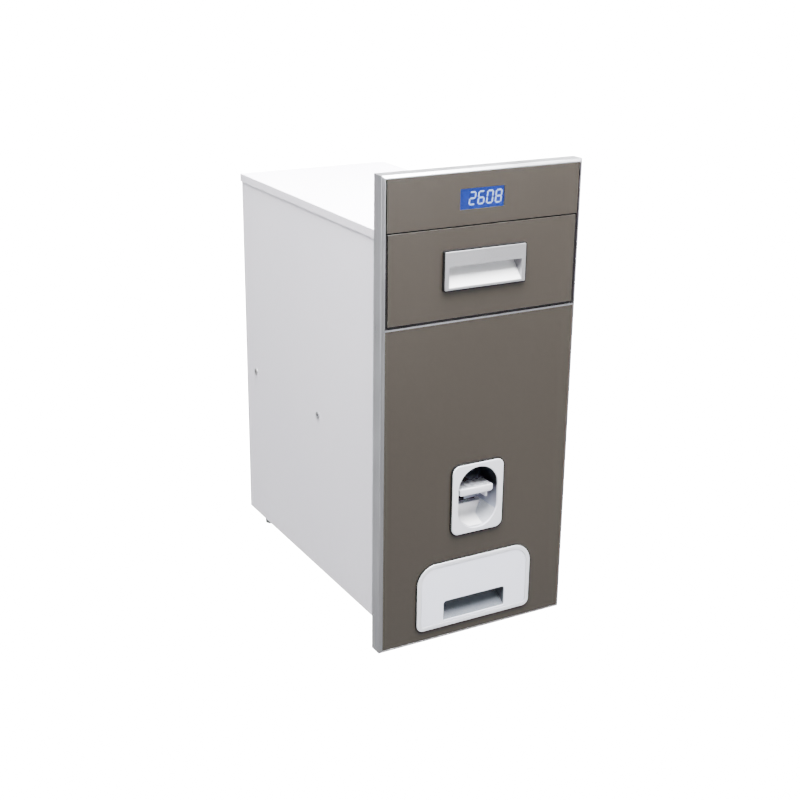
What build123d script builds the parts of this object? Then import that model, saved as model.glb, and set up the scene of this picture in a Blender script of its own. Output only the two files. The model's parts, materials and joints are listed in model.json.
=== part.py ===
"""Built-in kitchen rice dispenser: a steel cabinet behind an aluminium framed glass front.

Frame: millimetres, +Z up, the front faces -Y, origin on the floor under the middle of the object.
"""
from build123d import *
import os
from math import acos, cos, pi, radians, sin, tan

os.makedirs("parts", exist_ok=True)

# ---------------------------------------------------------------- driving dimensions
FRONT_W = 298.0          # overlay front for a 300 mm kitchen cabinet module
FRONT_H = 656.0
FRONT_D = 23.0           # depth of the aluminium frame
GLASS_Y = -250.0         # front plane of the frame and glass
PULL_Y = -255.0          # foremost face, the finger pull
FRAME_REAR_Y = GLASS_Y + FRONT_D
LID_REAR_Y = 255.0

BODY_HALF_W = 123.6
BODY_Z0 = 20.0
BODY_Z1 = 573.8
BODY_REAR_Y = 252.0
SHEET = 1.2
FLANGE_Y0 = FRAME_REAR_Y
FLANGE_Y1 = FLANGE_Y0 + SHEET
WALL_IN = BODY_HALF_W - SHEET

LIP_W = 4.5              # visible front edge of the frame
SLOPE = 3.2              # 45 degree slope along the frame's outer front edge
STILE_W = 15.0
GLASS_T = 4.0
REBATE_Y = GLASS_Y + 5.5
GLASS_REAR_Y = GLASS_Y + GLASS_T

LOWER_GLASS_TOP = 459.0
TRIM_TOP = 461.0
DRAWER_Z0 = 464.7
DRAWER_Z1 = 582.7
STRIP_Z0 = 584.7

WINDOW = (-38.5, 27.5, 604.5, 631.0)     # display opening: x low, x high, z low, z high

PULL_W = 122.0
PULL_Z = (503.0, 553.5)
PULL_LIP_Z = 534.0

ESCUTCHEON_W = 81.0
ESCUTCHEON_Z = (155.0, 257.0)
RECESS_W = 63.0
RECESS_Z = (161.0, 251.0)

BEZEL_W = 184.0
BEZEL_Z = (19.0, 118.0)
BOX_FRONT_W = 170.0
BOX_FRONT_Z = (25.6, 111.4)
GRIP_W = 100.0
GRIP_Z = (28.6, 58.4)

PIVOT = (-185.0, 215.0)  # lever shaft axis: y, z
MODULE = 1.5
SECTOR_TEETH = 80
PINION_TEETH = 20
MESH_ANGLE = -16.26      # direction from the lever shaft to the drum shaft, degrees
CENTRES = MODULE * (SECTOR_TEETH + PINION_TEETH) / 2
DRUM = (PIVOT[0] + CENTRES * cos(radians(MESH_ANGLE)), PIVOT[1] + CENTRES * sin(radians(MESH_ANGLE)))
DRUM_R = 36.0
DRUM_HALF_L = 45.0
SHAFT_R = 5.0
RUNNING = 0.05           # radial clearance of a shaft in its bush
PLATE_X = (46.0, 50.0)
GEAR_X = (52.0, 58.0)

RUNNER_Y = (-10.0, 215.0 - 1.0)          # runner fixing points, 224 mm apart
RUNNER_Z = 266.0
RUNNER_BORE_R = 2.1

FOOT_X = 102.5
FOOT_Y = (-180.0, 216.0)
FOOT_R = 11.0


# ---------------------------------------------------------------- helpers
def at_depth(y):
    """Upright plane at depth y, looking at the front; extrusion runs towards the user."""
    return Plane.XZ.offset(-y)


def brick(x0, x1, y0, y1, z0, z1, mode=Mode.ADD):
    """Rectangular solid between two corners, joined to the part being built."""
    with Locations(((x0 + x1) / 2, (y0 + y1) / 2, (z0 + z1) / 2)):
        Box(x1 - x0, y1 - y0, z1 - z0, mode=mode)


def rod(x0, x1, y, z, r, mode=Mode.ADD):
    """Cylinder along X."""
    with Locations(Location(((x0 + x1) / 2, y, z), (0, 90, 0))):
        Cylinder(r, x1 - x0, mode=mode)


def pin(y0, y1, x, z, r, mode=Mode.ADD):
    """Cylinder along Y."""
    with Locations(Location((x, (y0 + y1) / 2, z), (90, 0, 0))):
        Cylinder(r, y1 - y0, mode=mode)


def post(z0, z1, x, y, r, mode=Mode.ADD):
    """Cylinder along Z."""
    with Locations((x, y, (z0 + z1) / 2)):
        Cylinder(r, z1 - z0, mode=mode)


def rounded_panel(width, z_range, y0, y1, r_top, r_bottom, mode=Mode.ADD, x=0.0):
    """Upright plate with rounded corners between depths y0 and y1."""
    low, high = z_range
    with BuildSketch(at_depth(y1)) as outline:
        with Locations((x, (low + high) / 2)):
            Rectangle(width, high - low)
        fillet(outline.vertices().group_by(Axis.Y)[-1], r_top)
        fillet(outline.vertices().group_by(Axis.Y)[0], r_bottom)
    extrude(outline.sketch, amount=y1 - y0, mode=mode)


def side_profile(points, x0, x1, mode=Mode.ADD):
    """Solid with a straight sided outline in depth and height, extruded from x0 to x1."""
    with BuildSketch(Plane.YZ.offset(x0)) as outline:
        with BuildLine():
            Polyline(*points, close=True)
        make_face()
    extrude(outline.sketch, amount=x1 - x0, mode=mode)


def save(built, name):
    """Label the finished piece and write its file."""
    built.part.label = name
    export_step(built.part, f"parts/{name}.step")


def grown(z_range, by):
    return (z_range[0] - by, z_range[1] + by)


# ---------------------------------------------------------------- aluminium front frame
HALF_W = FRONT_W / 2
HOLLOW_Y = (REBATE_Y + 2.0, FRAME_REAR_Y - 2.0)


def frame_member(outline, rebate, hollow):
    """Mitred frame member: outline in x and z, less its glass rebate and its hollow."""
    with BuildPart() as member:
        with BuildSketch(at_depth(FRAME_REAR_Y)):
            with BuildLine():
                Polyline(*outline, close=True)
            make_face()
        extrude(amount=FRONT_D)
        chamfer(member.faces().sort_by(Axis.Y)[0].edges().sort_by(SortBy.LENGTH)[-1], SLOPE)
        brick(rebate[0], rebate[1], GLASS_Y - 1, REBATE_Y, rebate[2], rebate[3], Mode.SUBTRACT)
        brick(hollow[0], hollow[1], HOLLOW_Y[0], HOLLOW_Y[1], hollow[2], hollow[3], Mode.SUBTRACT)
    return member


FRAME_SCREW_Z = [60.0, 200.0, 340.0, 480.0]
FRAME_SCREW_X = 141.0
SCREW_R = 2.0
HEAD_R = 3.9


def frame_screw_solid(side, z, mode):
    """Countersunk screw that holds a body flange to a stile."""
    pin(FLANGE_Y0 - 8, FLANGE_Y1, side * FRAME_SCREW_X, z, SCREW_R, mode)
    with Locations(Location((side * FRAME_SCREW_X, FLANGE_Y1 - SHEET / 2, z), (90, 0, 0))):
        Cone(HEAD_R, HEAD_R - SHEET, SHEET, mode=mode)


for side, name in ((-1, "frame_left_stile"), (1, "frame_right_stile")):
    outer = side * HALF_W
    inner = side * (HALF_W - STILE_W)
    shape = [(outer, 0), (inner, STILE_W), (inner, FRONT_H - STILE_W), (outer, FRONT_H)]
    lip_x = side * (HALF_W - LIP_W)
    rebate_x = sorted((lip_x, inner - side))
    hollow_x = sorted((outer - side * 2, inner + side * 2))
    stile = frame_member(shape, (*rebate_x, LIP_W, FRONT_H - LIP_W), (*hollow_x, -1, FRONT_H + 1))
    with stile:
        for z in FRAME_SCREW_Z:
            pin(FLANGE_Y0 - 3, FLANGE_Y0 + 1, side * FRAME_SCREW_X, z, SCREW_R, Mode.SUBTRACT)
    save(stile, name)

for top, name in ((True, "frame_top_rail"), (False, "frame_bottom_rail")):
    outer = FRONT_H if top else 0.0
    inner = FRONT_H - STILE_W if top else STILE_W
    inward = -1 if top else 1
    shape = [(-HALF_W, outer), (HALF_W, outer), (HALF_W - STILE_W, inner), (STILE_W - HALF_W, inner)]
    rebate_z = sorted((outer + inward * LIP_W, inner + inward))
    hollow_z = sorted((outer + inward * 2, inner - inward * 2))
    rail = frame_member(shape, (LIP_W - HALF_W, HALF_W - LIP_W, *rebate_z), (-HALF_W, HALF_W, *hollow_z))
    save(rail, name)

KEY_LEG = 32.0
with BuildPart() as frame_corner_keys:
    for side in (-1, 1):
        for z_edge, inward in ((0.0, 1), (FRONT_H, -1)):
            x_span = sorted((side * (HALF_W - 2.2), side * (HALF_W - STILE_W + 2.2)))
            z_span = sorted((z_edge + inward * 2.2, z_edge + inward * KEY_LEG))
            brick(*x_span, HOLLOW_Y[0] + 0.2, HOLLOW_Y[1] - 0.2, *z_span)
            x_span = sorted((side * (HALF_W - 2.2), side * (HALF_W - KEY_LEG)))
            z_span = sorted((z_edge + inward * 2.2, z_edge + inward * (STILE_W - 2.2)))
            brick(*x_span, HOLLOW_Y[0] + 0.2, HOLLOW_Y[1] - 0.2, *z_span)
save(frame_corner_keys, "frame_corner_keys")

with BuildPart() as frame_screws:
    for side in (-1, 1):
        for z in FRAME_SCREW_Z:
            frame_screw_solid(side, z, Mode.ADD)
save(frame_screws, "frame_screws")

CROSS_HALF_W = HALF_W - STILE_W
for z0, z1, name in ((577.0, 591.0, "upper_cross_rail"), (452.0, 468.0, "lower_cross_rail")):
    with BuildPart() as cross_rail:
        brick(-CROSS_HALF_W, CROSS_HALF_W, REBATE_Y, FRAME_REAR_Y, z0, z1)
        brick(-HALF_W, HALF_W, REBATE_Y + 1.5, FRAME_REAR_Y - 1.5, z0 + 1.5, z1 - 1.5, Mode.SUBTRACT)
    save(cross_rail, name)

# ---------------------------------------------------------------- glass front
LOWER_HALF = HALF_W - LIP_W - 0.1
with BuildPart() as lower_glass:
    brick(-LOWER_HALF, LOWER_HALF, GLASS_Y, GLASS_REAR_Y, LIP_W + 0.1, LOWER_GLASS_TOP)
    rounded_panel(BEZEL_W - 8, grown(BEZEL_Z, -4), GLASS_Y - 1, 0, 25, 7, Mode.SUBTRACT)
    rounded_panel(ESCUTCHEON_W - 10, grown(ESCUTCHEON_Z, -2), GLASS_Y - 1, 0, 9, 9, Mode.SUBTRACT)
save(lower_glass, "lower_glass")

with BuildPart() as lower_backing_panel:
    brick(-LOWER_HALF, LOWER_HALF, GLASS_REAR_Y, REBATE_Y, LIP_W + 0.1, LOWER_GLASS_TOP)
    rounded_panel(BEZEL_W - 8, grown(BEZEL_Z, -4), GLASS_Y - 1, 0, 25, 7, Mode.SUBTRACT)
    rounded_panel(ESCUTCHEON_W - 10, grown(ESCUTCHEON_Z, -2), GLASS_Y - 1, 0, 9, 9, Mode.SUBTRACT)
save(lower_backing_panel, "lower_backing_panel")

with BuildPart() as lower_glass_trim:
    brick(-LOWER_HALF, LOWER_HALF, GLASS_Y - 0.4, REBATE_Y, LOWER_GLASS_TOP, TRIM_TOP)
save(lower_glass_trim, "lower_glass_trim")

STRIP_HALF = HALF_W - LIP_W - 2.0
STRIP_Z1 = FRONT_H - LIP_W - 0.1
with BuildPart() as display_glass:
    brick(-STRIP_HALF, STRIP_HALF, GLASS_Y, GLASS_REAR_Y, STRIP_Z0, STRIP_Z1)
    brick(WINDOW[0], WINDOW[1], GLASS_Y - 1, GLASS_REAR_Y + 1, WINDOW[2], WINDOW[3], Mode.SUBTRACT)
save(display_glass, "display_glass")

with BuildPart() as display_backing:
    brick(-STRIP_HALF, STRIP_HALF, GLASS_REAR_Y, REBATE_Y, STRIP_Z0, STRIP_Z1)
    brick(WINDOW[0], WINDOW[1], GLASS_Y, 0, WINDOW[2], WINDOW[3], Mode.SUBTRACT)
save(display_backing, "display_backing")

# ---------------------------------------------------------------- display behind the strip
LENS_T = 2.0
LCD_T = 2.8
with BuildPart() as display_lens:
    brick(WINDOW[0], WINDOW[1], GLASS_Y + 0.3, GLASS_Y + 0.3 + LENS_T, WINDOW[2], WINDOW[3])
save(display_lens, "display_lens")

LCD_Y0 = GLASS_Y + 0.3 + LENS_T
with BuildPart() as lcd_panel:
    brick(WINDOW[0], WINDOW[1], LCD_Y0, LCD_Y0 + LCD_T, WINDOW[2], WINDOW[3])
save(lcd_panel, "lcd_panel")

BOARD_Y = -236.0
# centre x, centre z, width and height of each component on the board
CHIPS = [(-40, 610, 9, 9), (-18, 622, 14, 10), (8, 606, 6, 4), (8, 618, 6, 4), (26, 612, 8, 12)]
with BuildPart() as lcd_holder:
    brick(WINDOW[0] - 6, WINDOW[1] + 6, REBATE_Y, BOARD_Y, WINDOW[2] - 6, WINDOW[3] + 6)
    brick(WINDOW[0] - 3, WINDOW[1] + 3, REBATE_Y + 1.5, BOARD_Y + 1,
          WINDOW[2] - 3, WINDOW[3] + 3, Mode.SUBTRACT)
save(lcd_holder, "lcd_holder")

with BuildPart() as circuit_board:
    brick(WINDOW[0] - 20, WINDOW[1] + 12, BOARD_Y, BOARD_Y + 1.6, WINDOW[2] - 10, WINDOW[3] + 8)
    for x, z, w, h in CHIPS:
        brick(x - w / 2, x + w / 2, BOARD_Y + 1.6, BOARD_Y + 3.6, z - h / 2, z + h / 2)
save(circuit_board, "circuit_board")

CELL_R = 7.1
CELL_X = (60.0, 110.5)
CELL_Z = (606.5, 623.5)
CELL_Y = -235.8
with BuildPart() as battery_holder:
    brick(CELL_X[0] - 3, CELL_X[1] + 3, REBATE_Y, CELL_Y + 2, CELL_Z[0] - 9.5, CELL_Z[1] + 9.5)
    brick(CELL_X[0] - 1, CELL_X[1] + 1, REBATE_Y + 1.2, CELL_Y + 3,
          CELL_Z[0] - 8, CELL_Z[1] + 8, Mode.SUBTRACT)
save(battery_holder, "battery_holder")

with BuildPart() as batteries:
    for z in CELL_Z:
        rod(CELL_X[0], CELL_X[1] - 1.5, CELL_Y, z, CELL_R)
        rod(CELL_X[1] - 1.5, CELL_X[1], CELL_Y, z, 2.7)
save(batteries, "batteries")

with BuildPart() as display_rear_cover:
    brick(-CROSS_HALF_W, CROSS_HALF_W, FRAME_REAR_Y - 1.5, FRAME_REAR_Y, 591.0, FRONT_H - STILE_W)
save(display_rear_cover, "display_rear_cover")

# ---------------------------------------------------------------- lever surround
SEAL_T = 0.6
with BuildPart() as lever_gasket:
    rounded_panel(ESCUTCHEON_W + 3, grown(ESCUTCHEON_Z, 1.5), GLASS_Y - SEAL_T, GLASS_Y, 12, 12)
    rounded_panel(ESCUTCHEON_W - 10, grown(ESCUTCHEON_Z, -2), GLASS_Y - 2, 0, 9, 9, Mode.SUBTRACT)
save(lever_gasket, "lever_gasket")

ESCUTCHEON_Y = GLASS_Y - 3.6
with BuildPart() as lever_escutcheon:
    rounded_panel(ESCUTCHEON_W, ESCUTCHEON_Z, ESCUTCHEON_Y, GLASS_Y - SEAL_T, 11, 11)
    rounded_panel(RECESS_W, RECESS_Z, ESCUTCHEON_Y - 1, 0, 31.4, 31.4, Mode.SUBTRACT)
    front_edges = lever_escutcheon.faces().sort_by(Axis.Y)[0].outer_wire().edges()
    fillet(front_edges, 1.6)
save(lever_escutcheon, "lever_escutcheon")

CUP_REAR_Y = -205.0
CUP_WALL = 2.0
SCOOP_LIP_Z = 162.0
SCOOP_TURN = (-228.0, 164.5)
SCOOP_R = 16.0
SCOOP_TOP = (SCOOP_TURN[0] + SCOOP_R, SCOOP_TURN[1] + SCOOP_R)
WELL_HALF_W = 26.0
WELL_Z = (SCOOP_TOP[1], 242.0)
ARM_SLOT = (-7.0, 7.0, 184.0, 230.0)
with BuildPart() as cup_cavity:
    rounded_panel(RECESS_W, RECESS_Z, GLASS_Y - 1, CUP_REAR_Y, 31.4, 31.4)
    with BuildSketch(Plane.YZ.offset(-RECESS_W)):
        with BuildLine():
            floor_line = Line((GLASS_Y - 2, SCOOP_LIP_Z), SCOOP_TURN)
            curve = TangentArc(SCOOP_TURN, SCOOP_TOP, tangent=(1, 0))
            back = Polyline(SCOOP_TOP, (CUP_REAR_Y + 1, SCOOP_TOP[1]),
                            (CUP_REAR_Y + 1, RECESS_Z[1] + 19), (GLASS_Y - 2, RECESS_Z[1] + 19))
            Line(back @ 1, floor_line @ 0)
        make_face()
    extrude(amount=2 * RECESS_W, mode=Mode.INTERSECT)

with BuildPart() as lever_cup:
    rounded_panel(RECESS_W + 2 * CUP_WALL, grown(RECESS_Z, CUP_WALL), GLASS_Y - SEAL_T,
                  CUP_REAR_Y + CUP_WALL, 33.4, 33.4)
    add(cup_cavity.part, mode=Mode.SUBTRACT)
    brick(-WELL_HALF_W, WELL_HALF_W, CUP_REAR_Y - 5, CUP_REAR_Y + 5, *WELL_Z, Mode.SUBTRACT)
save(lever_cup, "lever_cup")

with BuildPart() as lever_well_cover:
    brick(-WELL_HALF_W - 4, WELL_HALF_W + 4, CUP_REAR_Y + CUP_WALL, CUP_REAR_Y + CUP_WALL + 1.5,
          WELL_Z[0] - 4, WELL_Z[1] + 3)
    brick(*ARM_SLOT[:2], CUP_REAR_Y, CUP_REAR_Y + 5, *ARM_SLOT[2:], Mode.SUBTRACT)
save(lever_well_cover, "lever_well_cover")

# ---------------------------------------------------------------- rice box surround
BEZEL_Y = GLASS_Y - 2.4
with BuildPart() as rice_box_gasket:
    rounded_panel(BEZEL_W + 3, grown(BEZEL_Z, 1.5), GLASS_Y - SEAL_T, GLASS_Y, 30.5, 12)
    rounded_panel(BEZEL_W - 8, grown(BEZEL_Z, -4), GLASS_Y - 2, 0, 25, 7, Mode.SUBTRACT)
save(rice_box_gasket, "rice_box_gasket")

BOX_GAP = 0.6
with BuildPart() as rice_box_bezel:
    rounded_panel(BEZEL_W, BEZEL_Z, BEZEL_Y, GLASS_Y - SEAL_T, 29, 10.5)
    bezel_front = rice_box_bezel.faces().sort_by(Axis.Y)[0].outer_wire().edges()
    fillet(bezel_front, 1.2)
    rounded_panel(BEZEL_W - 8.4, grown(BEZEL_Z, -4.2), GLASS_Y - SEAL_T, REBATE_Y, 24.8, 6.8)
    rounded_panel(BOX_FRONT_W + 2 * BOX_GAP, grown(BOX_FRONT_Z, BOX_GAP), BEZEL_Y - 1, 0, 22.6, 4.6,
                  Mode.SUBTRACT)
save(rice_box_bezel, "rice_box_bezel")

# ---------------------------------------------------------------- steel cabinet
BOTTOM_FLANGE = 90.0
REAR_FLANGE = 108.0
REAR_SCREW_Z = [60.0, 220.0, 380.0, 540.0]
REAR_SCREW_X = 115.0

for side, name in ((-1, "left_side_panel"), (1, "right_side_panel")):
    wall_x = sorted((side * BODY_HALF_W, side * WALL_IN))
    with BuildPart() as side_panel:
        brick(*wall_x, FLANGE_Y0, BODY_REAR_Y, BODY_Z0, BODY_Z1)
        front_x = sorted((side * BODY_HALF_W, side * (HALF_W - 3)))
        brick(*front_x, FLANGE_Y0, FLANGE_Y1, BODY_Z0, BODY_Z1)
        rear_x = sorted((side * WALL_IN, side * REAR_FLANGE))
        brick(*rear_x, BODY_REAR_Y - 2 * SHEET, BODY_REAR_Y - SHEET, BODY_Z0, BODY_Z1)
        base_x = sorted((side * WALL_IN, side * BOTTOM_FLANGE))
        brick(*base_x, FLANGE_Y0 + 2, BODY_REAR_Y - 2 * SHEET, BODY_Z0, BODY_Z0 + SHEET)
        for z in FRAME_SCREW_Z:
            frame_screw_solid(side, z, Mode.SUBTRACT)
        for z in REAR_SCREW_Z:
            pin(BODY_REAR_Y - 4, BODY_REAR_Y, side * REAR_SCREW_X, z, SCREW_R, Mode.SUBTRACT)
        for y in RUNNER_Y:
            rod(*sorted((side * 120.0, side * 126.0)), y, RUNNER_Z, 3.5, Mode.SUBTRACT)
        for y in FOOT_Y:
            post(BODY_Z0 - 1, BODY_Z0 + 3, side * FOOT_X, y, SCREW_R, Mode.SUBTRACT)
    save(side_panel, name)

with BuildPart() as rear_panel:
    brick(-WALL_IN, WALL_IN, BODY_REAR_Y - SHEET, BODY_REAR_Y, BODY_Z0, BODY_Z1)
    for side in (-1, 1):
        for z in REAR_SCREW_Z:
            pin(BODY_REAR_Y - 4, BODY_REAR_Y + 1, side * REAR_SCREW_X, z, SCREW_R, Mode.SUBTRACT)
save(rear_panel, "rear_panel")

with BuildPart() as rear_panel_screws:
    for side in (-1, 1):
        for z in REAR_SCREW_Z:
            pin(BODY_REAR_Y - 3, BODY_REAR_Y + 0.5, side * REAR_SCREW_X, z, SCREW_R)
            pin(BODY_REAR_Y, BODY_REAR_Y + 2.2, side * REAR_SCREW_X, z, 3.8)
save(rear_panel_screws, "rear_panel_screws")

with BuildPart() as base_plate:
    brick(-WALL_IN, WALL_IN, FLANGE_Y0 + 2, BODY_REAR_Y - 2 * SHEET, BODY_Z0 + SHEET, BODY_Z0 + 2 * SHEET)
    for side in (-1, 1):
        for y in FOOT_Y:
            post(BODY_Z0, BODY_Z0 + 4, side * FOOT_X, y, SCREW_R, Mode.SUBTRACT)
save(base_plate, "base_plate")

COVER_X = 125.0
COVER_LIP = 12.0
COVER_Z1 = BODY_Z1 + SHEET
with BuildPart() as top_cover:
    brick(-COVER_X, COVER_X, FLANGE_Y1, LID_REAR_Y, COVER_Z1 - COVER_LIP, COVER_Z1)
    outer_edges = top_cover.edges().filter_by(Axis.X).sort_by(Axis.Y)[-2:].sort_by(Axis.Z)[-1:]
    outer_edges += top_cover.edges().filter_by(Axis.Y).sort_by(Axis.Z)[-2:]
    fillet(outer_edges, 1.0)
    brick(SHEET - COVER_X, COVER_X - SHEET, FLANGE_Y0, LID_REAR_Y - SHEET,
          0, COVER_Z1 - SHEET, Mode.SUBTRACT)
save(top_cover, "top_cover")

with BuildPart() as runner_nuts:
    for side in (-1, 1):
        for y in RUNNER_Y:
            rod(*sorted((side * BODY_HALF_W, side * (BODY_HALF_W + 1.3))), y, RUNNER_Z, 5.2)
            rod(*sorted((side * 112.0, side * BODY_HALF_W)), y, RUNNER_Z, 3.5)
            rod(*sorted((side * 111.0, side * 126.0)), y, RUNNER_Z, RUNNER_BORE_R, Mode.SUBTRACT)
save(runner_nuts, "runner_nuts")

with BuildPart() as feet:
    for side in (-1, 1):
        for y in FOOT_Y:
            with Locations((side * FOOT_X, y, BODY_Z0 / 2)):
                Cone(FOOT_R - 1.5, FOOT_R, BODY_Z0)
            post(-1, 12, side * FOOT_X, y, 4.6, Mode.SUBTRACT)
            post(10, BODY_Z0 + 1, side * FOOT_X, y, SCREW_R, Mode.SUBTRACT)
save(feet, "feet")

with BuildPart() as foot_screws:
    for side in (-1, 1):
        for y in FOOT_Y:
            post(9.4, 12, side * FOOT_X, y, 4.2)
            post(11, BODY_Z0 + 7, side * FOOT_X, y, SCREW_R)
save(foot_screws, "foot_screws")

# ---------------------------------------------------------------- hopper
HOPPER_Z = (245.0, 440.0, 466.5)
THROAT = (88.0, 40.0)
HOPPER_TOP = (213.0, 449.0)
HOPPER_Y = 12.0
HOPPER_WALL = 1.5


def rect_at(z, y, size):
    """Rectangular sketch at height z centred on depth y."""
    with BuildSketch(Plane.XY.offset(z)) as outline:
        with Locations((0, y)):
            Rectangle(*size)
    return outline.sketch


with BuildPart() as hopper:
    outer_top = (HOPPER_TOP[0] + 2 * HOPPER_WALL, HOPPER_TOP[1] + 2 * HOPPER_WALL)
    outer_throat = (THROAT[0] + 2 * HOPPER_WALL, THROAT[1] + 2 * HOPPER_WALL)
    loft([rect_at(HOPPER_Z[0], DRUM[0], outer_throat), rect_at(HOPPER_Z[1], HOPPER_Y, outer_top)])
    extrude(rect_at(HOPPER_Z[1], HOPPER_Y, outer_top), amount=HOPPER_Z[2] - HOPPER_Z[1])
    rim = (HOPPER_TOP[0] + 27, HOPPER_TOP[1] + 9)
    extrude(rect_at(HOPPER_Z[2], HOPPER_Y, rim), amount=HOPPER_WALL)
    inner = [rect_at(HOPPER_Z[0] + 2.5, DRUM[0], THROAT), rect_at(HOPPER_Z[1] + 2.5, HOPPER_Y, HOPPER_TOP)]
    loft(inner, mode=Mode.SUBTRACT)
    extrude(inner[1], amount=40, mode=Mode.SUBTRACT)
    extrude(rect_at(HOPPER_Z[0] - 1, DRUM[0], THROAT), amount=5, mode=Mode.SUBTRACT)
save(hopper, "hopper")

with BuildPart() as hopper_rails:
    for side in (-1, 1):
        brick(*sorted((side * WALL_IN, side * (WALL_IN - 1.5))), -210, 230, 436, HOPPER_Z[2])
        brick(*sorted((side * WALL_IN, side * 109.5)), -210, 230, HOPPER_Z[2] - 1.5, HOPPER_Z[2])
save(hopper_rails, "hopper_rails")

# ---------------------------------------------------------------- metering unit
HOUSING_Y = (DRUM[0] - 42, DRUM[0] + 42)
HOUSING_Z = (150.0, 245.0)
BORE_R = DRUM_R + 0.4
with BuildPart() as metering_housing:
    brick(-PLATE_X[0], PLATE_X[0], *HOUSING_Y, *HOUSING_Z)
    rod(-60, 60, *DRUM, BORE_R, Mode.SUBTRACT)
    brick(-THROAT[0] / 2, THROAT[0] / 2, DRUM[0] - THROAT[1] / 2, DRUM[0] + THROAT[1] / 2,
          100, 300, Mode.SUBTRACT)
save(metering_housing, "metering_housing")

BUSH_R = 8.0
PLATE_OUTLINE = [(-198, 206), (-198, 226), (HOUSING_Y[0], 245), (HOUSING_Y[1], 245),
                 (HOUSING_Y[1], 150), (HOUSING_Y[0], 150)]
with BuildPart() as metering_plates:
    for side in (-1, 1):
        x0, x1 = sorted((side * PLATE_X[0], side * PLATE_X[1]))
        side_profile(PLATE_OUTLINE, x0, x1)
        rod(x0 - 1, x1 + 1, *PIVOT, BUSH_R, Mode.SUBTRACT)
        rod(x0 - 1, x1 + 1, *DRUM, BUSH_R, Mode.SUBTRACT)
save(metering_plates, "metering_plates")

with BuildPart() as shaft_bushes:
    for centre in (PIVOT, DRUM):
        for side in (-1, 1):
            rod(*sorted((side * PLATE_X[0], side * PLATE_X[1])), *centre, BUSH_R)
            rod(*sorted((side * PLATE_X[1], side * (PLATE_X[1] + 1))), *centre, BUSH_R + 2)
            rod(*sorted((side * 40, side * 55)), *centre, SHAFT_R + RUNNING, Mode.SUBTRACT)
save(shaft_bushes, "shaft_bushes")

with BuildPart() as outlet_chute:
    brick(-46, 46, DRUM[0] - 22, DRUM[0] + 22, 103, HOUSING_Z[0])
    brick(-THROAT[0] / 2, THROAT[0] / 2, DRUM[0] - 20, DRUM[0] + 20, 100, 160, Mode.SUBTRACT)
save(outlet_chute, "outlet_chute")

# ---------------------------------------------------------------- gears
PRESSURE = radians(20.0)
FLANK_THIN = 0.12        # taken off each flank, for backlash


def flank_points(teeth, centre_angle, side):
    """Points up one involute flank of a tooth, root to tip, about the gear's own centre."""
    pitch_r = MODULE * teeth / 2
    base_r = pitch_r * cos(PRESSURE)
    root_r = pitch_r - 1.25 * MODULE
    tip_r = pitch_r + MODULE
    half_pitch = pi / (2 * teeth) - FLANK_THIN / pitch_r
    start = max(base_r, root_r)
    radii = [root_r] + [start + (tip_r - start) * step / 6 for step in range(7)]
    points = []
    for r in dict.fromkeys(radii):
        a = acos(min(1.0, base_r / max(r, base_r)))
        half = half_pitch + (tan(PRESSURE) - PRESSURE) - (tan(a) - a)
        angle = centre_angle + side * half
        points.append((r * cos(angle), r * sin(angle)))
    return points


def toothed(teeth, centre_angles):
    """Outline along the given teeth, in order of rising angle."""
    points = []
    for angle in centre_angles:
        points += flank_points(teeth, angle, -1)
        points += reversed(flank_points(teeth, angle, 1))
    return points


def shifted(points, centre):
    return [(y + centre[0], z + centre[1]) for y, z in points]


mesh = radians(MESH_ANGLE)
pinion_pitch = 2 * pi / PINION_TEETH
pinion_angles = [mesh + pi + pinion_pitch * (tooth + 0.5) for tooth in range(PINION_TEETH)]
with BuildPart() as drum_pinion:
    side_profile(shifted(toothed(PINION_TEETH, pinion_angles), DRUM), *GEAR_X)
    rod(GEAR_X[0] - 1, GEAR_X[1] + 1, *DRUM, SHAFT_R, Mode.SUBTRACT)
save(drum_pinion, "drum_pinion")

sector_pitch = 2 * pi / SECTOR_TEETH
sector_angles = [mesh + sector_pitch * tooth for tooth in range(-10, 3)]
hub_start = sector_angles[-1] + radians(40)
hub_end = sector_angles[0] - radians(40)
with BuildPart() as sector_gear:
    rim = toothed(SECTOR_TEETH, sector_angles)
    web = [(9 * cos(hub_start), 9 * sin(hub_start)), (9 * cos(hub_end), 9 * sin(hub_end))]
    side_profile(shifted(rim + web, PIVOT), *GEAR_X)
    rod(*GEAR_X, *PIVOT, 11)
    window_at = sum(sector_angles) / len(sector_angles)
    window = (PIVOT[0] + 36 * cos(window_at), PIVOT[1] + 36 * sin(window_at))
    rod(GEAR_X[0] - 1, GEAR_X[1] + 1, *window, 9, Mode.SUBTRACT)
    rod(GEAR_X[0] - 1, GEAR_X[1] + 1, *PIVOT, SHAFT_R, Mode.SUBTRACT)
save(sector_gear, "sector_gear")

# ---------------------------------------------------------------- metering drum
POCKET_ANGLE = 68.0
with BuildPart() as metering_drum:
    rod(-DRUM_HALF_L, DRUM_HALF_L, *DRUM, DRUM_R)
    pocket = Location((0, *DRUM), (POCKET_ANGLE - 90, 0, 0))
    with Locations(pocket * Location((0, 0, 24.5))):
        Box(80, 32, 33, mode=Mode.SUBTRACT)
    rod(-60, 60, *DRUM, SHAFT_R, Mode.SUBTRACT)
save(metering_drum, "metering_drum")

with BuildPart() as drum_shaft:
    rod(-54, 60, *DRUM, SHAFT_R)
save(drum_shaft, "drum_shaft")

# ---------------------------------------------------------------- dispensing lever
PADDLE_W = 53.0
PADDLE_Y = (-249.0, -224.0)
PADDLE_Z = (209.0, 221.0)
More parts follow.
